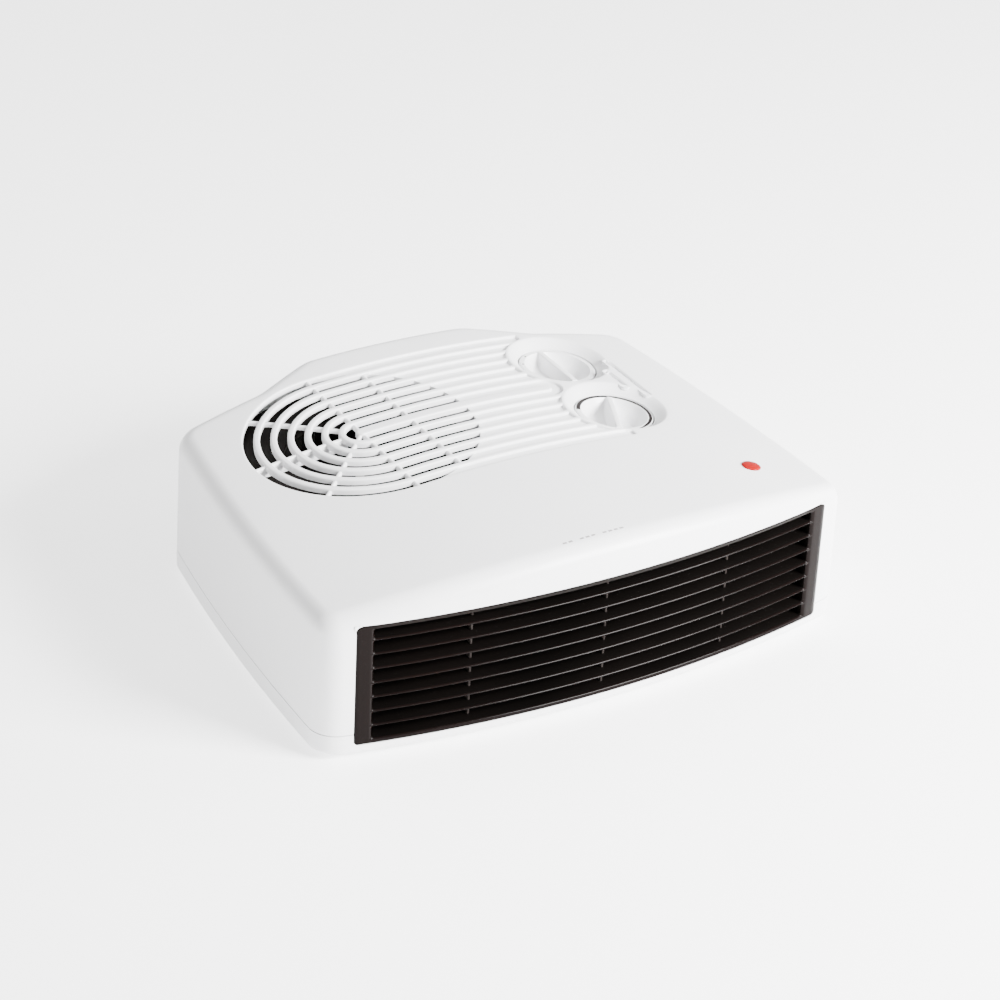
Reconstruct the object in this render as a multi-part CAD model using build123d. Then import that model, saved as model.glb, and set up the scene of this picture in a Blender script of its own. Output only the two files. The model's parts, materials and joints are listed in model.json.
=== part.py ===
from build123d import *
import math
import os

os.makedirs("parts", exist_ok=True)

# ---------------------------------------------------------------- driving dimensions, mm
# Frame: +Z up, -Y is the front (warm air outlet), origin at the middle of the footprint, on the floor.
WIDTH = 330.0             # across the widest part of the case, near the front
FRONT_Y = -131.0          # middle of the bowed front
CORNER_Y = -112.0         # where the front and the sides would meet
BACK_Y = 131.0            # flat middle of the back
TOP_Z = 101.8             # crown of the domed top
DOME_R = 760.0            # the top is a cylinder about an axis along Y
FLOOR_GAP = 3.0           # the case stands this high on its feet
SPLIT_Z = 15.8            # joint between tray and cover
WALL = 2.5
DRAFT = 1.0               # degrees of mould draft on the walls
EDGE_R = 11.0             # rounding round the top of the case
BOTTOM_R = 3.5            # rounding round the underside

# outlet grille
GRILLE_HALF = 146.6       # half width of the dark grille
GRILLE_LOW = 9.0
GRILLE_TOP = 80.8
GRILLE_Y = -129.0         # front face of the grille at the middle
GRILLE_R = 711.0          # radius of its bow
GRILLE_DEEP = 10.0
GRILLE_CLEAR = 0.2
SLATS = 8
SLAT_PITCH = 8.68
SLAT_LOW = 10.1           # height of the lowest slat
SLAT_THICK = 1.5
OPENING_HALF = 136.8
TIE_X = 80.3
TIE_WIDE = 1.6

# inlet grille over the fan
FAN_X = -62.0
FAN_Y = 37.3
INLET_R = 65.6            # outside of the outermost slot
PAD_EDGE = 1.4            # the thicker ring of the cover round the slots
FIRST_SLOT = 6.3          # radius of the middle of the innermost slot
RIB_PITCH = 9.4
RINGS = 7
SLOT_WIDE = 5.8
RIB_DEEP = 4.5
GROOVE_WIDE = 5.4
GROOVE_DEEP = 1.1
CROSS_GROOVE_WIDE = 2.0    # the two short grooves at the right of the knobs
STRIP_END_X = 57.5         # the plain strip between the innermost grooves ends round about here
SPOKE_WIDE = 2.4
SPOKE_DROP = 1.0          # spokes lie this far under the rib tops
SPOKE_ANGLES = (90, 135, 180, 225, 270)
CROSSBAR_X = 31.0         # straight bar across the ribs, right of the fan's middle

# controls
KNOB_X = 85.2
KNOB_SPREAD = 30.95       # each knob's distance from the middle of the pair
KNOB_R = 22.6
KNOB_TOP = -5.0           # rim of the knob, below the surface of the cover
KNOB_DEEP = 10.0
DISH_R = 29.5             # rim of the dish at the surface
DISH_FLOOR_R = 23.4
SPINDLE_R = 3.0
NECK_R = 4.5
RUNNING_GAP = 0.05
BAR_HALF = 1.6            # half thickness of the knob's finger bar
SCOOP_R = 18.8
SCOOP_FLOOR = -12.0
STEM_R = 6.0
STEM_LOW = -22.5
SPINDLE_TOP = -14.6
SPINDLE_LOW = -39.5
PLATE_TOP = -27.0         # control bracket, below the surface of the cover
PLATE_THICK = 1.5
PLATE_HALF = 26.0
PLATE_LONG = 62.0
POST_X = 21.0             # bracket posts under the cover, from the middle of the pair
POST_Y = 57.0
LENS_X = 120.1
LENS_Y = -79.3
LENS_R = 5.5
LENS_BARREL_R = 4.6

# fan and motor
IMPELLER_R = 56.0
HUB_R = 14.0
BLADE_ROOT_R = 43.0
BLADES = 28
BLADE_THICK = 1.0
BLADE_LEAN = 35.0
IMPELLER_LOW = 48.0
IMPELLER_TOP = 82.0
SHAFT_R = 2.5
SHAFT_LOW = 9.5
SHAFT_TOP = 70.0
ROTOR_R = 11.5
STACK_LOW = 20.0
STACK_TOP = 36.0
BUSH_R = 4.5
STRAP_THICK = 2.0

# air path
SCROLL_THICK = 1.6
SCROLL_TOP = 83.5
SCROLL_START_R = 62.0
SCROLL_GROWTH = 12.0      # gain in radius over half a turn
BOX_HALF = 133.0          # heater box
BOX_FRONT = -98.0
BOX_BACK = -68.0
BOX_TOP = 74.0
SHEET = 1.0
CARD_XS = (-100, -50, 0, 50, 100)
COIL_R = 3.0
COIL_ROWS = (-89.0, -77.0)
COIL_LOW = 14.0
COIL_PITCH = 10.4
COILS = 6

# fastening
CASE_SCREWS = ((-149, -88), (149, -88), (-138, 84), (138, 84), (0, 118))
FEET = ((-132, -92), (132, -92), (-112, 84), (112, 84))
FOOT_R = 8.0
CORD_X = 110.0
CORD_Y = 108.0
CORD_BUSH_R = 6.0
CORD_R = 3.7
LEAD_R = 1.1
LEAD_BEND = 5.0

FLOOR_TOP = FLOOR_GAP + WALL


def save(node, shape):
    export_step(shape, f"parts/{node}.step")


def cylinder(radius, low, top, x=0.0, y=0.0):
    """Upright cylinder between two heights."""
    return Pos(x, y, (low + top) / 2) * Cylinder(radius, top - low)


def block(x0, x1, y0, y1, z0, z1):
    """Box between two corners."""
    return Pos((x0 + x1) / 2, (y0 + y1) / 2, (z0 + z1) / 2) * Box(x1 - x0, y1 - y0, z1 - z0)


def dome_height(x):
    """Height of the cover's surface at a distance from the middle plane."""
    return TOP_Z - DOME_R + math.sqrt(DOME_R ** 2 - x ** 2)


def surface_place(x, y):
    """Place on the cover's surface, with local Z along the outward normal."""
    tilt = math.degrees(math.asin(x / DOME_R))
    return Pos(x, y, dome_height(x)) * Rot(0, tilt, 0)


# ---------------------------------------------------------------- case
def plan(inset=0.0):
    """Outline of the case at the bottom, seen from above."""
    half = WIDTH / 2
    shoulder = (147.5, 102.5)
    ramp_low = (90.0, 112.5)
    ramp_top = (52.0, BACK_Y)
    corners = []
    edges = [ThreePointArc((-half, CORNER_Y), (0, FRONT_Y), (half, CORNER_Y))]
    for side in (1, -1):
        edges.append(ThreePointArc((side * half, CORNER_Y), (side * 160.6, -5), (side * 147.5, 102.5)))
        edges.append(Line((side * shoulder[0], shoulder[1]), (side * ramp_low[0], ramp_low[1])))
        edges.append(Line((side * ramp_low[0], ramp_low[1]), (side * ramp_top[0], ramp_top[1])))
        corners.append(((side * half, CORNER_Y), 16.0))
        corners.append(((side * shoulder[0], shoulder[1]), 20.0))
        corners.append(((side * ramp_low[0], ramp_low[1]), 30.0))
        corners.append(((side * ramp_top[0], ramp_top[1]), 30.0))
    edges.append(Line((ramp_top[0], ramp_top[1]), (-ramp_top[0], ramp_top[1])))
    face = make_face(edges)
    for place, radius in corners:
        nearest = face.vertices().sort_by_distance(place)[0]
        face = fillet(nearest, radius)
    if inset:
        face = offset(face, amount=-inset)
    return face


def dome(inset=0.0):
    """Everything under the domed top surface."""
    radius = DOME_R - inset
    return Pos(0, 0, TOP_Z - DOME_R) * Rot(90, 0, 0) * Cylinder(radius, 400)


def case_block(inset=0.0):
    """The whole case as one solid, with its rounded top edge."""
    tall = Pos(0, 0, FLOOR_GAP) * extrude(plan(inset), amount=TOP_Z + 10, taper=DRAFT)
    solid = tall & dome(inset)
    crown = solid.faces().sort_by(Axis.Z)[-1]
    return fillet(crown.edges(), EDGE_R - inset)


OUTER = case_block()
INNER = case_block(WALL)
BIG = 400.0


def ring_path(k):
    """Radius of the middle of slot k, counted from the middle of the fan."""
    return FIRST_SLOT + k * RIB_PITCH


def slot_plan():
    """The open slots: half rings on the left that run straight to the right, inside the inlet circle."""
    inlet = Pos(FAN_X, FAN_Y) * Circle(INLET_R)
    left = Pos(FAN_X - BIG / 2, FAN_Y) * Rectangle(BIG, BIG)
    slots = Sketch()
    for k in range(RINGS):
        middle = ring_path(k)
        outer = Circle(middle + SLOT_WIDE / 2)
        inner = Circle(middle - SLOT_WIDE / 2)
        slots += (Pos(FAN_X, FAN_Y) * (outer - inner)) & left
        for side in (1, -1):
            slots += Pos(FAN_X + BIG / 2, FAN_Y + side * middle) * Rectangle(BIG, SLOT_WIDE)
    return slots & inlet


def groove_plan():
    """Shallow grooves that carry the ribs on from the fan to the knobs, and two beyond them."""
    grooves = Sketch()
    for k in range(RINGS):
        middle = ring_path(k)
        start = FAN_X + math.sqrt(INLET_R ** 2 - (middle + GROOVE_WIDE / 2) ** 2) - 1.0
        long = (KNOB_X - 8.0 if k else STRIP_END_X) - start
        for side in (1, -1):
            grooves += Pos(start + long / 2, FAN_Y + side * middle) * Rectangle(long, GROOVE_WIDE)
    outer = Circle(ring_path(0) + GROOVE_WIDE / 2)
    inner = Circle(ring_path(0) - GROOVE_WIDE / 2)
    right = Pos(10, 0) * Rectangle(20, 40)
    grooves += Pos(STRIP_END_X, FAN_Y) * ((outer - inner) & right)
    for side in (1, -1):
        grooves -= Pos(KNOB_X, FAN_Y + side * KNOB_SPREAD) * Circle(DISH_R + 1.2)
    for x in (KNOB_X + 20.5, KNOB_X + 28.0):
        reach = KNOB_SPREAD - math.sqrt(DISH_R ** 2 - (x - KNOB_X) ** 2)
        grooves += Pos(x, FAN_Y) * Rectangle(CROSS_GROOVE_WIDE, 2 * reach + 1.0)
    return grooves


def knob_places():
    """Places of the thermostat knob (front) and the selector knob (back) on the cover."""
    return [surface_place(KNOB_X, FAN_Y + side * KNOB_SPREAD) for side in (-1, 1)]


def top_cover():
    cover = OUTER - INNER
    cover = cover & block(-BIG, BIG, -BIG, BIG, SPLIT_Z, BIG)
    opening = GRILLE_HALF + GRILLE_CLEAR
    cover -= block(-opening, opening, -BIG, -100, 0, GRILLE_TOP)
    pad = cylinder(INLET_R + PAD_EDGE, 60, 110, FAN_X, FAN_Y) & (dome() - dome(RIB_DEEP))
    cover += pad
    for place in knob_places():
        cup = place * Pos(0, 0, -5.5) * Cone(DISH_FLOOR_R + 2.0, DISH_R + 1.0, 8.0)
        collar = place * Pos(0, 0, -7.5) * Cylinder(DISH_FLOOR_R + 2.0, 11.0)
        cover += (cup + collar) & dome(0.5)
    cover -= extrude(slot_plan(), amount=120)
    cover -= extrude(groove_plan(), amount=120) - dome(GROOVE_DEEP)
    for place in knob_places():
        slope = (DISH_R - DISH_FLOOR_R) / -KNOB_TOP
        lift = 4.0
        height = lift - KNOB_TOP
        cone = Cone(DISH_FLOOR_R, DISH_FLOOR_R + slope * height, height)
        cover -= place * Pos(0, 0, KNOB_TOP + height / 2) * cone
        cover -= place * Pos(0, 0, -10) * Cylinder(DISH_FLOOR_R, 20)
    spokes = dome(SPOKE_DROP) - dome(RIB_DEEP)
    bars = Sketch()
    spoke = Pos(INLET_R / 2 + 2, 0) * Rectangle(INLET_R, SPOKE_WIDE)
    for angle in SPOKE_ANGLES:
        bars += Pos(FAN_X, FAN_Y) * Rot(0, 0, angle) * spoke
    bars += Pos(FAN_X + CROSSBAR_X, FAN_Y) * Rectangle(SPOKE_WIDE, 1.75 * INLET_R)
    cover += extrude(bars, amount=120) & spokes
    for x, y in CASE_SCREWS:
        cover += cylinder(4.5, 9.0, TOP_Z, x, y) & INNER
        cover -= cylinder(1.5, 0, 24, x, y)
    pair = surface_place(KNOB_X, FAN_Y)
    for x in (-POST_X, POST_X):
        for y in (-POST_Y, POST_Y):
            cover += pair * Pos(x, y, (PLATE_TOP - 1.5) / 2) * Cylinder(3.5, -PLATE_TOP - 1.5)
            cover -= pair * Pos(x, y, PLATE_TOP + 4) * Cylinder(1.25, 9)
    cover -= surface_place(LENS_X, LENS_Y) * Cylinder(LENS_BARREL_R + 0.1, 20)
    cover -= Pos(CORD_X, CORD_Y, SPLIT_Z) * Rot(90, 0, 0) * Cylinder(CORD_BUSH_R - 1.0, 30)
    return cover


def base_tray():
    body = fillet(OUTER.faces().sort_by(Axis.Z)[0].edges(), BOTTOM_R)
    tray = body - (INNER & block(-BIG, BIG, -BIG, BIG, FLOOR_TOP, BIG))
    tray = tray & block(-BIG, BIG, -BIG, BIG, 0, SPLIT_Z - 0.3)
    lip = INNER - case_block(WALL + 1.2)
    tray += lip & block(-BIG, BIG, -BIG, BIG, 10.0, SPLIT_Z + 3.0)
    opening = GRILLE_HALF + GRILLE_CLEAR
    tray -= block(-opening, opening, -BIG, -100, GRILLE_LOW - 0.2, BIG)
    for x, y in CASE_SCREWS:
        tray += cylinder(7.0, FLOOR_GAP + 0.5, 9.0, x, y)
        tray -= cylinder(4.0, 0, 6.5, x, y)
        tray -= cylinder(1.8, 0, 9.5, x, y)
    for x, y in FEET:
        tray -= cylinder(2.5, 0, FLOOR_TOP + 1, x, y)
    for y in (-35, 35):
        tray += cylinder(5.0, FLOOR_TOP - 0.5, 13.0, FAN_X, FAN_Y + y)
        tray -= cylinder(1.25, FLOOR_TOP, 13.5, FAN_X, FAN_Y + y)
    for x in (-9, 9):
        tray += cylinder(3.0, FLOOR_TOP - 0.5, 9.5, CORD_X + x, 95)
        tray -= cylinder(1.0, FLOOR_TOP, 10, CORD_X + x, 95)
    tray -= Pos(CORD_X, CORD_Y, SPLIT_Z) * Rot(90, 0, 0) * Cylinder(CORD_BUSH_R - 1.0, 30)
    return tray


# ---------------------------------------------------------------- outlet grille
def bow_band(front, back, half, low, top):
    """Curved bar that follows the bow, between two depths and two heights."""
    middle = Pos(0, GRILLE_Y + GRILLE_R)
    ring = middle * (Circle(GRILLE_R - front) - Circle(GRILLE_R - back))
    strip = Pos(0, GRILLE_Y) * Rectangle(2 * half, 80)
    return Pos(0, 0, low) * extrude(ring & strip, amount=top - low)


def front_grille():
    grille = bow_band(0, GRILLE_DEEP, GRILLE_HALF, GRILLE_LOW, GRILLE_TOP - GRILLE_CLEAR)
    grille -= bow_band(-5, GRILLE_DEEP + 5, OPENING_HALF, GRILLE_LOW + 1.6, GRILLE_TOP - 1.8)
    for k in range(SLATS):
        low = SLAT_LOW + k * SLAT_PITCH
        grille += bow_band(0.6, GRILLE_DEEP - 1.0, OPENING_HALF + 1, low, low + SLAT_THICK)
    for x in (-TIE_X, 0, TIE_X):
        tie = bow_band(GRILLE_DEEP - 3.0, GRILLE_DEEP, GRILLE_HALF, GRILLE_LOW + 1, GRILLE_TOP - 1)
        grille += tie & block(x - TIE_WIDE / 2, x + TIE_WIDE / 2, -BIG, BIG, 0, 100)
    return grille


# ---------------------------------------------------------------- controls
def knob():
    """Round knob with a finger bar between two scoops, about its own axis."""
    body = Pos(0, 0, KNOB_TOP - KNOB_DEEP / 2) * Cylinder(KNOB_R, KNOB_DEEP)
    for side in (1, -1):
        scoop = cylinder(SCOOP_R, SCOOP_FLOOR, 0) & block(BAR_HALF, BIG, -BIG, BIG, -20, 5)
        body -= scoop if side > 0 else Rot(0, 0, 180) * scoop
    body += cylinder(STEM_R, STEM_LOW, KNOB_TOP - KNOB_DEEP + 1)
    body -= cylinder(SPINDLE_R, STEM_LOW - 1, SPINDLE_TOP)
    return body


def spindle():
    return cylinder(SPINDLE_R, SPINDLE_LOW, SPINDLE_TOP)


def control_body(wide, long, deep):
    """Switch or thermostat case with its threaded neck, hanging under the bracket."""
    top = PLATE_TOP - PLATE_THICK
    body = block(-wide / 2, wide / 2, -long / 2, long / 2, top - deep, top)
    body += cylinder(NECK_R, top - 0.5, PLATE_TOP + 3.5)
    body -= cylinder(SPINDLE_R + RUNNING_GAP, SPINDLE_LOW - 0.5, 0)
    return body


def neck_nut():
    nut = Pos(0, 0, PLATE_TOP) * extrude(RegularPolygon(7.0, 6), amount=2.5)
    return nut - cylinder(NECK_R, PLATE_TOP - 1, 0)


def tabs(deep, spread, count):
    """Blade terminals under a control."""
    top = PLATE_TOP - PLATE_THICK - deep
    row = Compound(children=[
        block(spread * (i - (count - 1) / 2) - 0.4, spread * (i - (count - 1) / 2) + 0.4, -3, 3, top - 8, top)
        for i in range(count)
    ])
    return row


def control_bracket():
    top = PLATE_TOP
    plate = block(-PLATE_HALF, PLATE_HALF, -PLATE_LONG, PLATE_LONG, top - PLATE_THICK, top)
    for y in (-KNOB_SPREAD, KNOB_SPREAD):
        plate -= cylinder(NECK_R + 0.1, top - 5, top + 5, 0, y)
    for x in (-POST_X, POST_X):
        for y in (-POST_Y, POST_Y):
            plate -= cylinder(1.5, top - 5, top + 5, x, y)
    return plate


def bracket_screws():
    top = PLATE_TOP - PLATE_THICK
    screws = []
    for x in (-POST_X, POST_X):
        for y in (-POST_Y, POST_Y):
            screws.append(cylinder(2.6, top - 2, top, x, y) + cylinder(1.25, top, PLATE_TOP + 7, x, y))
    return Compound(children=screws)


def indicator_lens():
    cap = cylinder(LENS_R, 0, 1.0)
    cap = fillet(cap.edges().sort_by(Axis.Z)[-1], 0.8)
    return cap + cylinder(LENS_BARREL_R, -8, 0.2) - cylinder(3.2, -9, -1.0)


def lens_clip():
    return cylinder(7.5, -WALL - 1.2, -WALL - 0.2) - cylinder(LENS_BARREL_R, -5, 0)


def neon_lamp():
    return cylinder(2.6, -13.5, -2.2)


# ---------------------------------------------------------------- fan and motor
def at_fan(shape):
    return Pos(FAN_X, FAN_Y, 0) * shape


def impeller():
    wheel = cylinder(IMPELLER_R, IMPELLER_LOW, IMPELLER_LOW + 1.6)
    wheel += cylinder(HUB_R, IMPELLER_LOW - 1, SHAFT_TOP - 5)
    rim = cylinder(IMPELLER_R, IMPELLER_TOP - 2, IMPELLER_TOP)
    wheel += rim - cylinder(BLADE_ROOT_R, 0, 100)
    chord = (IMPELLER_R - BLADE_ROOT_R) / math.cos(math.radians(BLADE_LEAN)) - 2.5
    reach = (IMPELLER_R + BLADE_ROOT_R) / 2
    blade = block(-chord / 2, chord / 2, -BLADE_THICK / 2, BLADE_THICK / 2, IMPELLER_LOW + 1, IMPELLER_TOP - 1)
    for i in range(BLADES):
        wheel += Rot(0, 0, 360 * i / BLADES) * Pos(reach, 0, 0) * Rot(0, 0, BLADE_LEAN) * blade
    wheel -= cylinder(SHAFT_R, 0, 100)
    return wheel


def impeller_clip():
    return cylinder(5.0, SHAFT_TOP - 5, SHAFT_TOP - 3.5) - cylinder(SHAFT_R, 0, 100)


def motor_shaft():
    return cylinder(SHAFT_R, SHAFT_LOW, SHAFT_TOP)


def motor_rotor():
    return cylinder(ROTOR_R, STACK_LOW - 1, STACK_TOP + 1) - cylinder(SHAFT_R, 0, 100)


def motor_stator():
    stack = block(-24, 34, -24, 24, STACK_LOW, STACK_TOP)
    stack -= cylinder(ROTOR_R + 0.5, 0, 100)
    stack -= block(14, 24, -14.3, 14.3, 0, 100)
    for y in (-20, 20):
        stack -= cylinder(1.7, 0, 100, 0, y)
    return stack


def motor_coil():
    coil = block(14.5, 43.5, -14, 14, 11, 45)
    coil = fillet(coil.edges().filter_by(Axis.Y), 5)
    return coil - block(24, 34, -20, 20, STACK_LOW, STACK_TOP)


def bearing_strap(low):
    """Steel strap with a raised seat for a bearing bush; its feet stand on the stack."""
    strap = block(-6, 6, -24, 24, low, low + STRAP_THICK)
    strap += cylinder(6.5, low, low + 4.5)
    for side in (1, -1):
        foot = block(-6, 6, 16, 24, low - 3.5, low)
        strap += foot if side > 0 else Rot(0, 0, 180) * foot
        strap -= cylinder(1.7, low - 5, low + 5, 0, side * 20)
    return strap - cylinder(BUSH_R, low - 5, low + 10)


def bush(low):
    return cylinder(BUSH_R, low, low + 4.5) - cylinder(SHAFT_R + RUNNING_GAP, low - 1, low + 10)


def motor_screws():
    screws = []
    for y in (-20, 20):
        top = STACK_TOP + 3.5 + STRAP_THICK
        screws.append(cylinder(1.6, 14.5, top, 0, y) + cylinder(3.0, top, top + 2, 0, y))
    return Compound(children=screws)


def motor_plate():
    """Steel plate that carries the motor on two posts of the tray."""
    plate = block(-9, 9, -41, 41, 13.0, 14.5)
    plate -= cylinder(7.5, 0, 100)
    for y in (-35, 35):
        plate -= cylinder(1.5, 0, 100, 0, y)
    return plate


def plate_screws():
    screws = []
    for y in (-35, 35):
        screws.append(cylinder(3.0, 14.5, 16.5, 0, y) + cylinder(1.25, 7, 14.5, 0, y))
    return Compound(children=screws)


# ---------------------------------------------------------------- air path
def spiral(extra):
    """Scroll line from beside the tongue, round the back, to the left of the fan: three arcs."""
    points = []
    for i in range(7):
        turn = math.radians(-50 + i * 230 / 6)
        radius = SCROLL_START_R + SCROLL_GROWTH * i / 6 + extra
        points.append((FAN_X + radius * math.cos(turn), FAN_Y + radius * math.sin(turn)))
    arcs = [ThreePointArc(points[i], points[i + 1], points[i + 2]) for i in (0, 2, 4)]
    return arcs, points[0], points[-1]


def fan_scroll():
    """Spiral wall round the impeller, with its two straight duct walls to the heater box."""
    inner, inner_start, inner_end = spiral(0)
    outer, outer_start, outer_end = spiral(SCROLL_THICK)
    tall = SCROLL_TOP - FLOOR_TOP
    edges = [*inner, Line(inner_end, outer_end), *outer, Line(outer_start, inner_start)]
    wall = extrude(make_face(edges), amount=tall)
    left_x = outer_end[0]
    wall += block(left_x, left_x + SCROLL_THICK, BOX_BACK, FAN_Y + 1, 0, tall)
    wall += extrude(make_face(Polyline(
        (inner_start[0] - 0.5, inner_start[1] - 0.5), (inner_start[0] + 1.6, inner_start[1] + 0.6),
        (BOX_HALF - 4, BOX_BACK), (BOX_HALF - 8, BOX_BACK), close=True)), amount=tall)
    return Pos(0, 0, FLOOR_TOP) * wall


def scroll_lid():
    """Flat lid of the scroll, with the round mouth over the impeller."""
    outer, outer_start, outer_end = spiral(SCROLL_THICK)
    left = (outer_end[0], BOX_BACK)
    right = (BOX_HALF - 4, BOX_BACK)
    lid = make_face([*outer, Line(outer_end, left), Line(left, right), Line(right, outer_start)])
    lid -= Pos(FAN_X, FAN_Y) * Circle(BLADE_ROOT_R)
    return Pos(0, 0, SCROLL_TOP) * extrude(lid, amount=1.2)


def heater_box():
    """Sheet steel duct round the heating elements, open to the front and the back."""
    box = block(-BOX_HALF, BOX_HALF, BOX_FRONT, BOX_BACK, FLOOR_TOP, BOX_TOP)
    return box - block(-BOX_HALF + SHEET, BOX_HALF - SHEET, -BIG, BIG, FLOOR_TOP + SHEET, BOX_TOP - SHEET)


def coil_heights():
    return [COIL_LOW + i * COIL_PITCH for i in range(COILS)]


def mica_cards():
    card = block(-0.5, 0.5, BOX_FRONT + 2, BOX_BACK - 2, FLOOR_TOP + SHEET, BOX_TOP - SHEET)
    for y in COIL_ROWS:
        for z in coil_heights():
            card -= Pos(0, y, z) * Rot(0, 90, 0) * Cylinder(COIL_R + 0.3, 5)
    return Compound(children=[Pos(x, 0, 0) * card for x in CARD_XS])


def end_insulators():
    strip = block(BOX_HALF - SHEET - 3, BOX_HALF - SHEET, BOX_FRONT + 2, BOX_BACK - 2, 8, BOX_TOP - SHEET - 1)
    return Compound(children=[strip, Rot(0, 0, 180) * Pos(0, -BOX_FRONT - BOX_BACK, 0) * strip])


def heating_circuit(y):
    half = BOX_HALF - SHEET - 3
    return Compound(children=[
        Pos(0, y, z) * Rot(0, 90, 0) * Cylinder(COIL_R, 2 * half) for z in coil_heights()
    ])


def thermal_cutout():
    return cylinder(8.0, BOX_TOP, BOX_TOP + 5, 40, -83) + cylinder(5.0, BOX_TOP + 5, BOX_TOP + 7, 40, -83)


def thermal_fuse():
    return Pos(-20, -83, BOX_TOP + 2) * Rot(0, 90, 0) * Cylinder(2.0, 12)


# ---------------------------------------------------------------- supply and leads
def terminal_block():
    body = block(96, 124, 66, 84, FLOOR_TOP, FLOOR_TOP + 15)
    for i in range(3):
        body -= cylinder(2.2, FLOOR_TOP + 8, 30, 101 + 9 * i, 75)
    return body


def cord_clamp():
    return block(CORD_X - 13, CORD_X + 13, 91, 99, 9.5, 12.5)


def clamp_screws():
    screws = []
    for x in (-9, 9):
        screws.append(cylinder(2.2, 12.5, 14.2, CORD_X + x, 95))
    return Compound(children=screws)


def cord_bush():
    """Ring in the back wall that the supply cord would pass through."""
    ring = Cylinder(CORD_BUSH_R + 1.5, 2.0)
    ring += Pos(0, 0, -5) * Cylinder(CORD_BUSH_R - 1.0, 10)
    ring -= Cylinder(CORD_R, 40)
    return Pos(CORD_X, CORD_Y + 3.2, SPLIT_Z) * Rot(-90, 0, 0) * ring


def rubber_feet():
    return Compound(children=[
        cylinder(FOOT_R, 0, FLOOR_GAP, x, y) + cylinder(2.5, FLOOR_GAP, FLOOR_TOP, x, y) for x, y in FEET
    ])


def case_screws():
    return Compound(children=[
        cylinder(3.6, 4.0, 6.5, x, y) + cylinder(1.5, 6.5, 22, x, y) for x, y in CASE_SCREWS
    ])


def lead(*points):
    """Insulated lead on a route of straight runs and arcs."""
    path = FilletPolyline(*points, radius=LEAD_BEND)
    start = Plane(origin=path @ 0, z_dir=path % 0)
    return sweep(start * Circle(LEAD_R), path)


def lead_live():
    """From the terminal block to the first tab of the rotary switch."""
    return lead((101, 75, 14), (101, 75, 30), (86, 71, 36), (67.2, 68.2, 36), (67.2, 68.2, 44))


def lead_neutral():
    """From the terminal block along the side of the case to the end of the heater box."""
    end = BOX_HALF + LEAD_R + 0.4
    return lead((119, 75, 14), (119, 75, 40), (142, 40, 40), (142, -70, 40), (end, -84, 52))


FRONT_KNOB, BACK_KNOB = knob_places()
PAIR = surface_place(KNOB_X, FAN_Y)
LAMP = surface_place(LENS_X, LENS_Y)

NODES = {
    "top_cover": top_cover,
    "base_tray": base_tray,
    "front_grille": front_grille,
    "thermostat_knob": lambda: FRONT_KNOB * Rot(0, 0, -24) * knob(),
    "selector_knob": lambda: BACK_KNOB * knob(),
    "thermostat_spindle": lambda: FRONT_KNOB * spindle(),
    "selector_spindle": lambda: BACK_KNOB * spindle(),
    "thermostat_body": lambda: FRONT_KNOB * control_body(26, 40, 14),
    "selector_switch": lambda: BACK_KNOB * control_body(32, 32, 18),
    "thermostat_nut": lambda: FRONT_KNOB * neck_nut(),
    "selector_nut": lambda: BACK_KNOB * neck_nut(),
    "thermostat_tabs": lambda: FRONT_KNOB * tabs(14, 12, 2),
    "selector_tabs": lambda: BACK_KNOB * tabs(18, 8, 4),
    "control_bracket": lambda: PAIR * control_bracket(),
    "bracket_screws": lambda: PAIR * bracket_screws(),
    "indicator_lens": lambda: LAMP * indicator_lens(),
    "lens_clip": lambda: LAMP * lens_clip(),
    "neon_lamp": lambda: LAMP * neon_lamp(),
    "fan_impeller": lambda: at_fan(impeller()),
    "impeller_clip": lambda: at_fan(impeller_clip()),
    "motor_shaft": lambda: at_fan(motor_shaft()),
    "motor_rotor": lambda: at_fan(motor_rotor()),
    "motor_stator": lambda: at_fan(motor_stator()),
    "motor_coil": lambda: at_fan(motor_coil()),
    "upper_bearing_strap": lambda: at_fan(bearing_strap(STACK_TOP + 3.5)),
    "lower_bearing_strap": lambda: at_fan(bearing_strap(STACK_TOP + 3.5).mirror(Plane.XY.offset(28))),
    "upper_bearing_bush": lambda: at_fan(bush(STACK_TOP + 3.5)),
    "lower_bearing_bush": lambda: at_fan(bush(STACK_TOP + 3.5).mirror(Plane.XY.offset(28))),
    "motor_screws": lambda: at_fan(motor_screws()),
    "motor_plate": lambda: at_fan(motor_plate()),
    "plate_screws": lambda: at_fan(plate_screws()),
    "fan_scroll": fan_scroll,
    "scroll_lid": scroll_lid,
    "heater_box": heater_box,
    "mica_cards": mica_cards,
    "end_insulators": end_insulators,
    "front_heating_circuit": lambda: heating_circuit(COIL_ROWS[0]),
    "rear_heating_circuit": lambda: heating_circuit(COIL_ROWS[1]),
    "thermal_cutout": thermal_cutout,
    "thermal_fuse": thermal_fuse,
    "terminal_block": terminal_block,
    "cord_clamp": cord_clamp,
    "clamp_screws": clamp_screws,
    "cord_bush": cord_bush,
    "rubber_feet": rubber_feet,
    "lead_live": lead_live,
    "lead_neutral": lead_neutral,
    "case_screws": case_screws,
}

for node, make in NODES.items():
    save(node, make())
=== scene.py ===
import json
import math
import bmesh
import bpy
import numpy as np
from mathutils import Matrix, Vector
from mathutils.geometry import delaunay_2d_cdt


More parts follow.
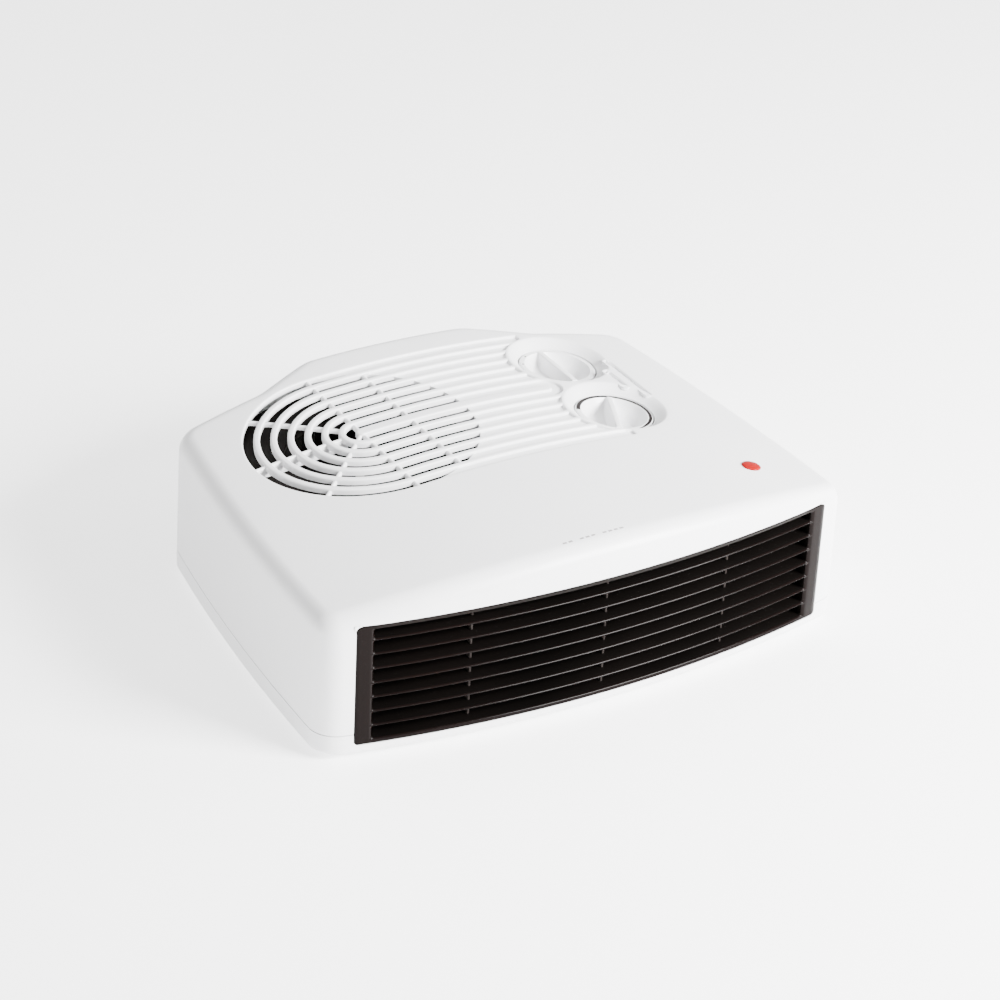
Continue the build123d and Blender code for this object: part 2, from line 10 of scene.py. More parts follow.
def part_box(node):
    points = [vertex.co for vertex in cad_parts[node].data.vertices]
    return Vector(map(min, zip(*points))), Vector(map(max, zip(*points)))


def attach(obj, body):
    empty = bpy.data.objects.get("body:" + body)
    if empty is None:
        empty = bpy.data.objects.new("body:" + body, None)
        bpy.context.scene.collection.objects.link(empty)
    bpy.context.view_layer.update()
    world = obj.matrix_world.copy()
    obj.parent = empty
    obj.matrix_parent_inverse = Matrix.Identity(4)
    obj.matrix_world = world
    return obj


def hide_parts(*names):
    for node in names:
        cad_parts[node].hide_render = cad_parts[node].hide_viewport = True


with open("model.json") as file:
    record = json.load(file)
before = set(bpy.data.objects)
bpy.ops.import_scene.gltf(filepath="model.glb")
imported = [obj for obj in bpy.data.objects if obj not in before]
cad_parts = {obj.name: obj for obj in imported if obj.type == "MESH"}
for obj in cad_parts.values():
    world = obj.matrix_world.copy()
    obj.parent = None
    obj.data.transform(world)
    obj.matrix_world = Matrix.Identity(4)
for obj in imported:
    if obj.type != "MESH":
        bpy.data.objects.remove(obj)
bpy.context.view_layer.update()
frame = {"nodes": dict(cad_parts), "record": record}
NODES = frame["nodes"]
MM = 0.001

# ---------------------------------------------------------------- sizes in mm
# A comment with "CAD" gives the CAD model's value where this one differs; most of these were set
# against the photo.
HALF = 165.0
FRONT_Y, CORNER_Y, BACK_Y = -131.0, -112.0, 131.0
SIDE_MIDDLE, SHOULDER, HOLLOW, BACK_END = (160.6, -5), (147.5, 102.5), (90.0, 112.5), (52.0, BACK_Y)
TOP_Z, DOME_R = 101.8, 760.0
FLOOR_GAP, SHELL = 3.0, 2.4
SPLIT_Z = 16.1  # CAD 15.8; foot of the cover, above the tray
DRAFT = math.radians(1.0)
EDGE_R = 11.0
OPENING_X, OPENING_Z = 146.9, 80.8  # CAD 146.8 wide
OPENING_STEPS = 46  # columns of the wall from the middle of the front to the opening's end
CORNER_FILL_R, CORNER_FILL_DEEP = 3.2, 2.0

FAN = (-62.0, 37.3)
INLET_R = 65.6
FIRST_SLOT, RIB_PITCH, RINGS = 6.3, 9.4, 7
SLOT_WIDE = 5.8  # CAD 5.4 for the blind grooves
RIB_DEEP, GROOVE_DEEP = 3.35, 1.5  # CAD 4.5 and 1.1
CREST_R = 1.1
STRIP_END_X, STRIP_ZONE = 57.5, 11.0
SPOKE_WIDE, SPOKE_DROP = 2.2, 0.9  # CAD 2.4 and 1.0
LEFT_SPOKE = 180
LEFT_SPOKE_DEEP = 8.5  # CAD 4.5, as the other spokes
# (angle, distance of the inner end from the fan's middle; CAD 2.0)
SPOKES = ((90, 3.0), (135, 9.0), (LEFT_SPOKE, 9.0), (225, 3.0), (270, 3.0))
CROSSBAR_X, CROSSBAR_GAP = 31.0, 2.0  # CAD has no gap in the middle

KNOB_X, KNOB_SPREAD = 85.2, 30.95
KNOB_R, KNOB_TOP, KNOB_LOW, KNOB_ROUND = 22.6, -5.0, -15.0, 0.9
DISH_R, DISH_FLOOR_R, CUP_LOW = 29.5, 23.4, -15.5
SCOOP_R, SCOOP_DEEP, BAR_HALF = 19.5, 7.8, 1.8  # CAD 18.8, 7.0 and 1.6
SCOOP_RIM, SCOOP_FLANK = 7.5, 1.4
THERMOSTAT_TURN = math.radians(-24)
# (x, half length) of the two short grooves beside the knobs
SHORT_GROOVES = ((KNOB_X + 20.3, 10.5), (KNOB_X + 28.3, 23.0))
SHORT_GROOVE_WIDE = 2.6  # CAD 2.0
PRINT_RISE = 0.05
LENS = (120.1, -79.3)
LENS_R, LENS_STEM_R, LENS_LOW = 5.5, 4.4, -7.5  # CAD 4.6 for the stem

GRILLE_HALF, GRILLE_LOW, GRILLE_TOP = 146.6, 9.0, 80.6
GRILLE_Y, GRILLE_R, GRILLE_DEEP = -129.9, 711.0, 12.5  # CAD -129.0 and 10.0 deep
GRILLE_EDGE = 0.35
SLATS, SLAT_PITCH, SLAT_LOW, SLAT_THICK = 8, 8.68, 10.1, 1.5
BAR_HALF_X, TIE_X, TIE_WIDE = 136.8, 80.3, 1.6
PANEL_ROLL = 2.4  # width over which an end panel's inner edge rolls back
STEP_WIDE, STEP_BACK, STEP_DEEP = 3.5, 0.3, 0.6  # the step beside an end panel, in front and behind


# ---------------------------------------------------------------- mesh helpers
class Skin:
    """Collects points and faces in millimetres and welds them into one mesh."""

    def __init__(self):
        self.points, self.faces, self.count = [], [], 0

    def add(self, points, faces):
        self.points.append(np.asarray(points, float).reshape(-1, 3))
        self.faces += [tuple(i + self.count for i in f) for f in faces]
        self.count += len(self.points[-1])

    def grid(self, rows, wrap=False, keep=None):
        """Quads over a grid of points, rows by columns; keep says which quads stay."""
        rows = np.asarray(rows, float)
        m, n = rows.shape[:2]
        faces = []
        for i in range(m - 1):
            for j in range(n if wrap else n - 1):
                if keep is None or keep[i][j]:
                    k = (j + 1) % n
                    faces.append((i * n + j, i * n + k, (i + 1) * n + k, (i + 1) * n + j))
        self.add(rows.reshape(-1, 3), faces)

    def cap_ends(self, rows):
        """One face over the first row of a grid and one over the last."""
        for row in (rows[0], rows[-1]):
            self.add(row, [tuple(range(len(row)))])

    def raw(self, weld=0.004):
        """A bmesh in millimetres with equal points joined."""
        bm = bmesh.new()
        verts = [bm.verts.new(p) for p in np.vstack(self.points)]
        for f in self.faces:
            bm.faces.new([verts[i] for i in f])
        bmesh.ops.remove_doubles(bm, verts=bm.verts, dist=weld)
        bmesh.ops.dissolve_degenerate(bm, dist=weld / 2, edges=bm.edges)
        return bm


def to_object(bm, name, body, material, replaces=(), sharp=38.0):
    """Turns a bmesh in millimetres into a finished piece that rides on a body."""
    bmesh.ops.recalc_face_normals(bm, faces=bm.faces)
    for f in bm.faces:
        f.smooth = True
    bmesh.ops.scale(bm, vec=(MM, MM, MM), verts=bm.verts)
    mesh = bpy.data.meshes.new(name)
    bm.to_mesh(mesh)
    bm.free()
    mesh.set_sharp_from_angle(angle=math.radians(sharp))
    piece = bpy.data.objects.new(name, mesh)
    bpy.context.scene.collection.objects.link(piece)
    mesh.materials.append(material)
    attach(piece, body)
    if replaces:
        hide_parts(*replaces)
    return piece


def dome(x):
    """Height of the cover's top, a cylinder about an axis along Y."""
    return TOP_Z - DOME_R + np.sqrt(DOME_R ** 2 - np.asarray(x, float) ** 2)


def on_dome(xy, drop=0.0):
    """Points on the cover's surface over plan points, some way under it."""
    xy = np.asarray(xy, float)
    return np.concatenate([xy, (dome(xy[..., 0]) - drop)[..., None]], axis=-1)


def tilted(x, y):
    """Matrix, in millimetres, of a place on the cover with local Z along its normal."""
    tilt = math.asin(x / DOME_R)
    return Matrix.Translation((x, y, float(dome(x)))) @ Matrix.Rotation(tilt, 4, "Y")


def turned(points, matrix):
    """Points through a 4x4 matrix."""
    points = np.asarray(points, float)
    m = np.array(matrix)
    return points @ m[:3, :3].T + m[:3, 3]


# ---------------------------------------------------------------- outline of the case
def circle_through(a, b, c):
    """Centre of the circle through three plan points."""
    (ax, ay), (bx, by), (cx, cy) = a, b, c
    d = 2 * (ax * (by - cy) + bx * (cy - ay) + cx * (ay - by))
    a2, b2, c2 = ax * ax + ay * ay, bx * bx + by * by, cx * cx + cy * cy
    x = (a2 * (by - cy) + b2 * (cy - ay) + c2 * (ay - by)) / d
    y = (a2 * (cx - bx) + b2 * (ax - cx) + c2 * (bx - ax)) / d
    return np.array((x, y)), math.dist((x, y), a)


def foot_on(curve, p):
    """Nearest point of a circle (centre, radius) or of a line (two points)."""
    if np.ndim(curve[1]) == 0:
        centre, radius = curve
        return centre + radius * (p - centre) / np.linalg.norm(p - centre)
    a, b = map(np.asarray, curve)
    along = (b - a) / np.linalg.norm(b - a)
    return a + along * ((p - a) @ along)


def fillet_centre(one, two, corner, radius, outward):
    """Centre of the round corner of a given radius between two curves, and where it touches them."""
    corner = np.asarray(corner, float)
    away = corner / np.linalg.norm(corner)
    c = corner + radius * (away if outward else -away)
    for _ in range(20):
        feet = [foot_on(one, c), foot_on(two, c)]
        normals = np.array([(c - f) / np.linalg.norm(c - f) for f in feet])
        miss = [radius - np.linalg.norm(c - f) for f in feet]
        c = c + np.linalg.solve(normals, miss)
    return c, foot_on(one, c), foot_on(two, c)


def arc(centre, a, b, steps):
    """Points and outward normals from a to b about a centre, the short way round."""
    centre = np.asarray(centre)
    t0 = math.atan2(*(a - centre)[::-1])
    t1 = math.atan2(*(b - centre)[::-1])
    t1 = t0 + (t1 - t0 + math.pi) % (2 * math.pi) - math.pi
    t = np.linspace(t0, t1, steps + 1)
    ray = np.stack([np.cos(t), np.sin(t)], axis=1)
    return centre + np.linalg.norm(a - centre) * ray, ray


def front_circle():
    """Centre and radius of the bowed front, at the foot of the case."""
    return circle_through((-HALF, CORNER_Y), (0, FRONT_Y), (HALF, CORNER_Y))


def straight_line(a, b, steps):
    """Points and outward normals along a straight wall."""
    t = np.linspace(0, 1, steps + 1)[:, None]
    d = (b - a) / np.linalg.norm(b - a)
    return a + t * (b - a), np.tile((d[1], -d[0]), (steps + 1, 1))


def outline():
    """Plan points and outward normals round the case at its foot, from the middle of the front."""
    front = front_circle()
    side = circle_through((HALF, CORNER_Y), SIDE_MIDDLE, SHOULDER)
    shoulder = (SHOULDER, HOLLOW)
    ramp = (HOLLOW, BACK_END)
    back = (BACK_END, (-BACK_END[0], BACK_Y))
    c1, a1, b1 = fillet_centre(front, side, (HALF, CORNER_Y), 16.0, False)
    c2, a2, b2 = fillet_centre(side, shoulder, SHOULDER, 20.0, False)
    c3, a3, b3 = fillet_centre(shoulder, ramp, HOLLOW, 30.0, True)
    c4, a4, b4 = fillet_centre(ramp, back, BACK_END, 30.0, False)
    middle = np.array((0.0, FRONT_Y))
    edge_y = front[0][1] - math.sqrt(front[1] ** 2 - OPENING_X ** 2)
    edge = np.array((OPENING_X, edge_y))
    bend, ray = arc(c3, a3, b3, 6)
    parts = [
        arc(front[0], middle, edge, OPENING_STEPS), arc(front[0], edge, a1, 2), arc(c1, a1, b1, 12),
        arc(side[0], b1, a2, 40), arc(c2, a2, b2, 12), straight_line(b2, a3, 6), (bend, -ray),
        straight_line(b3, a4, 6), arc(c4, a4, b4, 8), straight_line(b4, np.array((0.0, BACK_Y)), 8),
    ]
    points, normals = [parts[0][0][0]], [parts[0][1][0]]
    for p, n in parts:
        points += list(p[1:])
        normals += list(n[1:])
    points, normals = np.array(points), np.array(normals)
    flip = np.array((-1.0, 1.0))
    loop = np.concatenate([points, (points * flip)[-2:0:-1]])
    facing = np.concatenate([normals, (normals * flip)[-2:0:-1]])
    return loop, facing


def skirt_rows():
    """Rows of points up the wall and over the rounded edge to the dome, and the row at the opening's top."""
    loop, facing = outline()
    slope = math.tan(DRAFT)
    zc = np.full(len(loop), 85.0)  # a first guess of where the rounded edge's centre lies
    for _ in range(6):
        inset = slope * (zc - FLOOR_GAP) + EDGE_R / math.cos(DRAFT)
        centre = loop - facing * inset[:, None]
        zc = TOP_Z - DOME_R + np.sqrt((DOME_R - EDGE_R) ** 2 - centre[:, 0] ** 2)
    wall_n = np.column_stack([facing * math.cos(DRAFT), np.full(len(loop), math.sin(DRAFT))])
    sx = centre[:, 0] / (DOME_R - EDGE_R)
    dome_n = np.column_stack([sx, 0 * sx, np.sqrt(1 - sx ** 2)])
    ball = np.column_stack([centre, zc])
    span = np.arccos(np.clip((wall_n * dome_n).sum(1), -1, 1))

    def on_arc(t):
        """Point on the rounded edge; t runs from 0 at the wall to 1 at the dome."""
        a = np.sin((1 - t) * span)[:, None] * wall_n + np.sin(t * span)[:, None] * dome_n
        return ball + EDGE_R * a / np.sin(span)[:, None]

    contact = on_arc(np.zeros(len(loop)))[:, 2]

    def at_height(z):
        """Points of the profile at a height, and how far over the rounded edge they lie."""
        z = np.broadcast_to(z, zc.shape)
        wall = np.column_stack([loop - facing * (slope * (z - FLOOR_GAP))[:, None], z])
        low, high = np.zeros(len(loop)), np.ones(len(loop))
        for _ in range(40):
            mid = (low + high) / 2
            under = on_arc(mid)[:, 2] < z
            low, high = np.where(under, mid, low), np.where(under, high, mid)
        return np.where((z <= contact)[:, None], wall, on_arc(low)), np.where(z <= contact, 0.0, low)

    start = np.minimum(contact, OPENING_Z - 0.5)
    rows = [at_height(z)[0] for z in (SPLIT_Z, 18.0, 45.0, start)]
    for k in range(1, 5):
        rows.append(at_height(start + (OPENING_Z - start) * k / 4)[0])
    edge_row = len(rows) - 1
    above, share = at_height(np.maximum(contact, OPENING_Z + 0.3))
    rows.append(above)
    for k in range(1, 11):
        rows.append(on_arc(share + (1 - share) * k / 10))
    return np.array(rows), edge_row


# ---------------------------------------------------------------- inlet ribs and grooves
# the rounded edge of a rib: (distance from the slot's wall, drop under the dome), from the wall to the crest
CREST_STEPS = [math.radians(a) for a in (0, 18, 36, 54, 72, 90)]
ROUND = [(CREST_R * (1 - math.cos(a)), CREST_R * (1 - math.sin(a))) for a in CREST_STEPS]
# columns of the ribbed field: beside the inlet, up to SPLIT_X, round the left end, up to the grooves' ends
OPEN_STEPS, BLIND_STEPS, RING_STEPS, LATE_STEPS, CAP_STEPS = 18, 16, 44, 6, 20
END_STEPS = 4
END_COLUMNS = END_STEPS + len(ROUND) - 1
SPLIT_X = 46.0
FIELD_GAP, FIELD_REACH = 1.3, 8.0
WALL_LEAN = 0.15


def rib_lines():
    """(distance from the middle line, drop, number of the slot it bounds or None) across the ribs."""
    lines = [(0.0, 0.0, None), (1.2, 0.0, None)]
    for k in range(RINGS):
        inner = FIRST_SLOT + k * RIB_PITCH - SLOT_WIDE / 2
        outer = inner + SLOT_WIDE
        if k < RINGS - 1:
            floor = [inner + WALL_LEAN, inner + SLOT_WIDE * 0.33, inner + SLOT_WIDE * 0.67, outer - WALL_LEAN]
        else:
            # the last slot closes onto the inlet's circle, so its lines crowd towards it
            widest = math.acos((inner + WALL_LEAN) / INLET_R)
            crowd = [INLET_R * math.cos(widest * (1 - i / 8)) for i in range(1, 8)]
            floor = [inner + WALL_LEAN, *crowd, outer - 0.02]
        lines += [(inner - e, d, None) for e, d in reversed(ROUND[1:])]
        lines.append((inner, CREST_R, k))
        lines += [(r, GROOVE_DEEP, k) for r in floor]
        lines.append((outer, CREST_R, k))
        lines += [(outer + e, d, None) for e, d in ROUND[1:]]
        if k == 0:
            lines.append((STRIP_ZONE, 0.0, None))
    lines.append((INLET_R + 2.2, 0.0, None))
    return lines


def circle_x(r):
    """Where a line this far from the middle line crosses the inlet's circle."""
    return FAN[0] + math.sqrt(max(INLET_R ** 2 - r * r, 0.0))


def groove_end_x(r):
    """Where the ribbed field stops, beside the dishes."""
    across = abs(r - KNOB_SPREAD)
    return KNOB_X - max(FIELD_REACH, math.sqrt(max((DISH_R + FIELD_GAP) ** 2 - across ** 2, 0.0)))


def straight_xs(r, closed):
    """x of the columns from beside the fan's middle to the right end of a line."""
    c = circle_x(r)
    xs = list(np.linspace(FAN[0], c, OPEN_STEPS + 1))
    xs += list(np.linspace(c, SPLIT_X, BLIND_STEPS + 1)[1:])
    if closed:
        return xs + list(np.linspace(SPLIT_X, STRIP_END_X, LATE_STEPS + 1)[1:])
    end = groove_end_x(r)
    edge = end - CREST_R
    share = (STRIP_END_X - SPLIT_X) / (groove_end_x(STRIP_ZONE) - CREST_R - SPLIT_X)
    half = SPLIT_X + (edge - SPLIT_X) * share
    xs += list(np.linspace(SPLIT_X, half, LATE_STEPS + 1)[1:])
    xs += list(np.linspace(half, edge, END_STEPS + 1)[1:])
    return xs + [edge + e for e, d in ROUND[1:]]


def rib_grid(lines, closed):
    """Plan points, drops and open flags of a ribbed zone, line by line; closed runs all the way round."""
    rows, drops, opens = [], [], []
    for r, drop, slot in lines:
        xs = straight_xs(r, closed)
        limit = [GROOVE_DEEP] * len(xs)
        if not closed:
            limit[1 - len(ROUND):] = [d * GROOVE_DEEP / CREST_R for e, d in ROUND[1:]]
        turn = np.radians(np.linspace(270, 90, RING_STEPS + 1))[1:-1]
        ring = [(FAN[0] + r * math.cos(a), FAN[1] + r * math.sin(a)) for a in turn]
        front = [(x, FAN[1] - r) for x in reversed(xs)]
        back = [(x, FAN[1] + r) for x in xs]
        cap, cap_limit = [], []
        if closed:
            bend = np.radians(np.linspace(90, -90, CAP_STEPS + 1))[1:-1]
            cap = [(STRIP_END_X + r * math.cos(a), FAN[1] + r * math.sin(a)) for a in bend]
            cap_limit = [GROOVE_DEEP] * len(cap)
        rows.append(front + ring + back + cap)
        most = list(reversed(limit)) + [GROOVE_DEEP] * len(ring) + limit + cap_limit
        drops.append([min(drop, m) for m in most])
    blind = len(xs) - 1 - OPEN_STEPS
    opened = range(blind, blind + 2 * OPEN_STEPS + RING_STEPS)
    rows, drops = np.array(rows), np.array(drops)
    for i in range(len(lines) - 1):
        inside = lines[i][2] is not None and lines[i][2] == lines[i + 1][2]
        count = rows.shape[1] if closed else rows.shape[1] - 1
        opens.append([inside and j in opened for j in range(count)])
    return rows, drops, np.array(opens)


def stadium(x, y, half_long, wide, steps=12, side_points=7):
    """Plan loops and drops of a short blind groove along Y, from its middle line outwards."""
    levels = [(0.0, GROOVE_DEEP), (wide / 2, GROOVE_DEEP)]
    levels += [(wide / 2 + e, d) for e, d in ROUND[1:]]
    levels.append((wide / 2 + CREST_R + 0.8, 0.0))
    straight = half_long - wide / 2
    loops = []
    for r, drop in levels:
        a = np.radians(np.linspace(0, 180, steps + 1))
        top = np.column_stack([x + r * np.cos(a), y + straight + r * np.sin(a)])
        low = np.column_stack([x - r * np.cos(a), y - straight - r * np.sin(a)])
        sides = np.linspace(straight, -straight, side_points + 2)[1:-1]
        left = np.column_stack([np.full(side_points, x - r), y + sides])
        right = np.column_stack([np.full(side_points, x + r), y - sides])
        loops.append(np.concatenate([top, left, low, right]))
    return np.array(loops), np.array([d for r, d in levels])


def dish_loops(y, count=96):
    """Rings of points from the cover's surface down the dish and its cup."""
    place = tilted(KNOB_X, y)
    fall = -KNOB_TOP / (DISH_R - DISH_FLOOR_R)
    a = np.radians(np.arange(count) * 360 / count)
    # (radius, drop): the rounded lip, the sloping dish, then the rounded edge and wall of the cup
    profile = [(DISH_R + 0.9, 0.0), (DISH_R + 0.45, 0.05), (DISH_R - 0.1, 0.25), (DISH_R - 0.7, 0.66)]
    profile += [(r, (DISH_R - r) * fall) for r in (28.0, 26.5, 25.0, DISH_FLOOR_R + 0.5)]
    profile += [(DISH_FLOOR_R + 0.12, -KNOB_TOP - 0.2), (DISH_FLOOR_R, -KNOB_TOP + 0.3)]
    profile += [(DISH_FLOOR_R, -KNOB_TOP + 4.0), (DISH_FLOOR_R, -CUP_LOW)]
    loops = []
    for r, drop in profile:
        share = min(1.0, max(0.0, (r - DISH_FLOOR_R) / (DISH_R - DISH_FLOOR_R)))
        across, along = r * np.cos(a), r * np.sin(a)
        sag = share * across ** 2 / (2 * DOME_R)
        world = turned(np.column_stack([across, along, -sag - drop]), place)
        if drop == 0.0:
            world = on_dome(world[:, :2])
        loops.append(world)
    return np.array(loops)


def inside_loop(points, loop):
    """Which plan points lie inside a closed loop."""
    x, y = points[:, 0][:, None], points[:, 1][:, None]
    x0, y0 = loop[:, 0][None], loop[:, 1][None]
    x1, y1 = np.roll(loop[:, 0], -1)[None], np.roll(loop[:, 1], -1)[None]
    cross = ((y0 > y) != (y1 > y)) & (x < (x1 - x0) * (y - y0) / np.where(y1 == y0, 1e-12, y1 - y0) + x0)
    return cross.sum(1) % 2 == 1


def plain_faces(outer, holes, pitch=5.0):
    """Triangles over the plain dome between the rounded edge and the holes."""
    loops = [outer, *holes]
    xs = np.arange(-160, 160, pitch)
    ys = np.arange(-128, 130, pitch)
    fill = np.array([(x + (pitch / 2 if i % 2 else 0), y) for i, y in enumerate(ys) for x in xs])
    near = np.concatenate(loops)
    gap = np.sqrt(((fill[:, None] - near[None]) ** 2).sum(2)).min(1)
    ok = inside_loop(fill, outer) & (gap > 0.45 * pitch)
    for h in holes:
        ok &= ~inside_loop(fill, h)
    points, edges = [], []
    for loop in loops:
        base = len(points)
        points += [Vector(p) for p in loop]
        edges += [(base + i, base + (i + 1) % len(loop)) for i in range(len(loop))]
    points += [Vector(p) for p in fill[ok]]
    made = delaunay_2d_cdt(points, edges, [], 0, 1e-4)
    verts = np.array([tuple(v) for v in made[0]])
    faces = np.array([f for f in made[2] if len(f) == 3])
    middle = verts[faces].mean(1)
    keep = inside_loop(middle, outer)
    for h in holes:
        keep &= ~inside_loop(middle, h)
    return verts, faces[keep]


def without_repeats(loop):
    """A loop with neighbours that coincide left out."""
    kept = [loop[0]]
    for p in loop[1:]:
        if np.hypot(*(p - kept[-1])) > 0.01:
            kept.append(p)
    if np.hypot(*(kept[0] - kept[-1])) <= 0.01:
        kept.pop()
    return np.array(kept)


def cover_faces():
    """The outer skin of the cover: walls, rounded edge, ribs, dishes, short grooves and plain dome."""
    skin = Skin()
    rows, edge_row = skirt_rows()
    n = rows.shape[1]
    keep = np.ones((len(rows) - 1, n), bool)
    keep[:edge_row, :OPENING_STEPS] = False
    keep[:edge_row, n - OPENING_STEPS:] = False
    skin.grid(rows, wrap=True, keep=keep)
    lines = rib_lines()
    split = next(i for i, line in enumerate(lines) if line[0] == STRIP_ZONE)
    inner, inner_drop, inner_open = rib_grid(lines[:split + 1], True)
    skin.grid(on_dome(inner, inner_drop), wrap=True, keep=~inner_open)
    outer, outer_drop, outer_open = rib_grid(lines[split:], False)
    skin.grid(on_dome(outer, outer_drop), keep=~outer_open)
    cap = inner[-1][inner.shape[1] - CAP_STEPS + 1:]
    end = outer.shape[1] - END_COLUMNS
    field = np.concatenate([
        outer[-1], outer[::-1, -1][1:], outer[0][end:][::-1][1:], cap,
        outer[0][:END_COLUMNS][::-1], outer[1:, 0][:-1],
    ])
    holes = [without_repeats(field)]
    for y in (FAN[1] - KNOB_SPREAD, FAN[1] + KNOB_SPREAD):
        loops = dish_loops(y)
        skin.grid(loops, wrap=True)
        holes.append(loops[0][:, :2])
    for x, long in SHORT_GROOVES:
        loops, drop = stadium(x, FAN[1], long, SHORT_GROOVE_WIDE)
        skin.grid(on_dome(loops, drop[:, None]), wrap=True)
        holes.append(loops[-1])
    verts, faces = plain_faces(rows[-1][:, :2], holes)
    skin.add(on_dome(verts), [tuple(f) for f in faces])
    return skin


def thicken(bm):
    """Adds the inner skin and the walls between the two, so that the shell is closed."""
    bmesh.ops.recalc_face_normals(bm, faces=bm.faces)
    up = sum(f.normal.z * f.calc_area() for f in bm.faces)
    if up < 0:
        bmesh.ops.reverse_faces(bm, faces=bm.faces)
    bm.normal_update()
    tops = list(bm.verts)
    under = {}
    for v in tops:
        x, y, z = v.co
        if math.hypot(x - FAN[0], y - FAN[1]) < INLET_R + 1.5 and z > dome(x) - GROOVE_DEEP - 0.2:
            # the ribs of the inlet all end at one depth
            place = (x, y, float(dome(x)) - RIB_DEEP)
        else:
            place = v.co - v.normal * SHELL
        under[v] = bm.verts.new(place)
    rim = [e for e in bm.edges if e.is_boundary]
    for f in list(bm.faces):
        bm.faces.new([under[v] for v in reversed(f.verts)])
    for e in rim:
        a, b = e.verts
        bm.faces.new((a, b, under[b], under[a]))
    return bm


def bar_between(skin, a, b, low, steps=24):
    """A thin bar with a rounded top that follows the dome between two plan points, down to a depth under it."""
    a, b = np.asarray(a, float), np.asarray(b, float)
    d = (b - a) / np.linalg.norm(b - a)
    side = np.array((-d[1], d[0]))
    r = SPOKE_WIDE / 2
    round_top = np.radians(range(0, 181, 30))
    section = [(r * math.cos(t), SPOKE_DROP + r * 0.8 * (1 - math.sin(t))) for t in round_top]
    section += [(-r, low), (r, low)]
    rows = []
    for t in np.linspace(0, 1, steps + 1):
        p = a + t * (b - a)
        rows.append([(*(p + side * s), float(dome(p[0])) - deep) for s, deep in section])
    skin.grid(rows, wrap=True)
    skin.cap_ends(rows)


# ---------------------------------------------------------------- materials
def node_material(name, build):
    """A procedural material; build gets the node tree, the shader and the object coordinates."""
    mat = bpy.data.materials.new(name)
    mat.use_nodes = True
    tree = mat.node_tree
    shader = tree.nodes["Principled BSDF"]
    coords = tree.nodes.new("ShaderNodeTexCoord").outputs["Object"]
    build(tree, shader, coords)
    return mat


def noise(tree, coords, scale, detail=3.0):
    """Smooth noise, 0 to 1; a larger scale is finer."""
    n = tree.nodes.new("ShaderNodeTexNoise")
    n.inputs["Scale"].default_value = scale
    n.inputs["Detail"].default_value = detail
    tree.links.new(coords, n.inputs["Vector"])
    return n.outputs["Fac"]


def ramp(tree, fac, stops):
    """Colour picked by a value, from (position, colour) stops."""
    r = tree.nodes.new("ShaderNodeValToRGB")
    els = r.color_ramp.elements
    for i, (pos, color) in enumerate(stops):
        el = els[i] if i < 2 else els.new(pos)
        el.position = pos
        el.color = (*color, 1.0)
    tree.links.new(fac, r.inputs["Fac"])
    return r.outputs["Color"]


def spread(tree, fac, low, high):
    """A value from 0 to 1 spread between two others."""
    m = tree.nodes.new("ShaderNodeMapRange")
    m.inputs["To Min"].default_value = low
    m.inputs["To Max"].default_value = high
    tree.links.new(fac, m.inputs["Value"])
    return m.outputs["Result"]


def bump(tree, shader, height, strength, distance):
    """Fine relief, its distance in metres."""
    b = tree.nodes.new("ShaderNodeBump")
    b.inputs["Strength"].default_value = strength
    b.inputs["Distance"].default_value = distance
    tree.links.new(height, b.inputs["Height"])
    tree.links.new(b.outputs["Normal"], shader.inputs["Normal"])


def moulded(name, dark, light, rough, relief=(900.0, 0.00004), gloss=0.5):
    """Moulded plastic: faint mottling, uneven gloss and a fine grain."""
    def build(tree, shader, coords):
        mottle = noise(tree, coords, 14.0)
        color = ramp(tree, mottle, [(0.3, dark), (0.7, light)])
        tree.links.new(color, shader.inputs["Base Color"])
        gloss_map = spread(tree, noise(tree, coords, 60.0), rough - 0.05, rough + 0.05)
        tree.links.new(gloss_map, shader.inputs["Roughness"])
        shader.inputs["Specular IOR Level"].default_value = gloss
        grain, depth = relief
        bump(tree, shader, noise(tree, coords, grain, 2.0), 0.25, depth)
    return node_material(name, build)


def metal(name, dark, light, rough, stretch=(1.0, 1.0, 18.0)):
    """Drawn or rolled metal with fine lines along one direction."""
    def build(tree, shader, coords):
        m = tree.nodes.new("ShaderNodeMapping")
        m.inputs["Scale"].default_value = stretch
        tree.links.new(coords, m.inputs["Vector"])
        lines = noise(tree, m.outputs["Vector"], 120.0)
        tree.links.new(ramp(tree, lines, [(0.3, dark), (0.7, light)]), shader.inputs["Base Color"])
        tree.links.new(spread(tree, lines, rough - 0.08, rough + 0.1), shader.inputs["Roughness"])
        shader.inputs["Metallic"].default_value = 1.0
        bump(tree, shader, lines, 0.15, 0.00003)
    return node_material(name, build)


def lens_material():
    """Red plastic of the lamp's lens, with a fine cell pattern and a faint painted glow of its own red that
    brightens it.
    """
    def build(tree, shader, coords):
        v = tree.nodes.new("ShaderNodeTexVoronoi")
        v.inputs["Scale"].default_value = 700.0
        tree.links.new(coords, v.inputs["Vector"])
        reds = [(0.0, (0.30, 0.001, 0.001)), (0.9, (0.20, 0.0005, 0.0008))]
        color = ramp(tree, v.outputs["Distance"], reds)
        tree.links.new(color, shader.inputs["Base Color"])
        tree.links.new(spread(tree, noise(tree, coords, 300.0), 0.16, 0.26), shader.inputs["Roughness"])
        # painted glow: the lens gives off its own red light, though the lamp behind it is not lit
        tree.links.new(color, shader.inputs["Emission Color"])
        shader.inputs["Emission Strength"].default_value = 0.25
        shader.inputs["Specular IOR Level"].default_value = 0.15
        shader.inputs["Coat Weight"].default_value = 0.15
        shader.inputs["Coat Roughness"].default_value = 0.08
        bump(tree, shader, v.outputs["Distance"], 0.3, 0.0002)
    return node_material("lens_red", build)


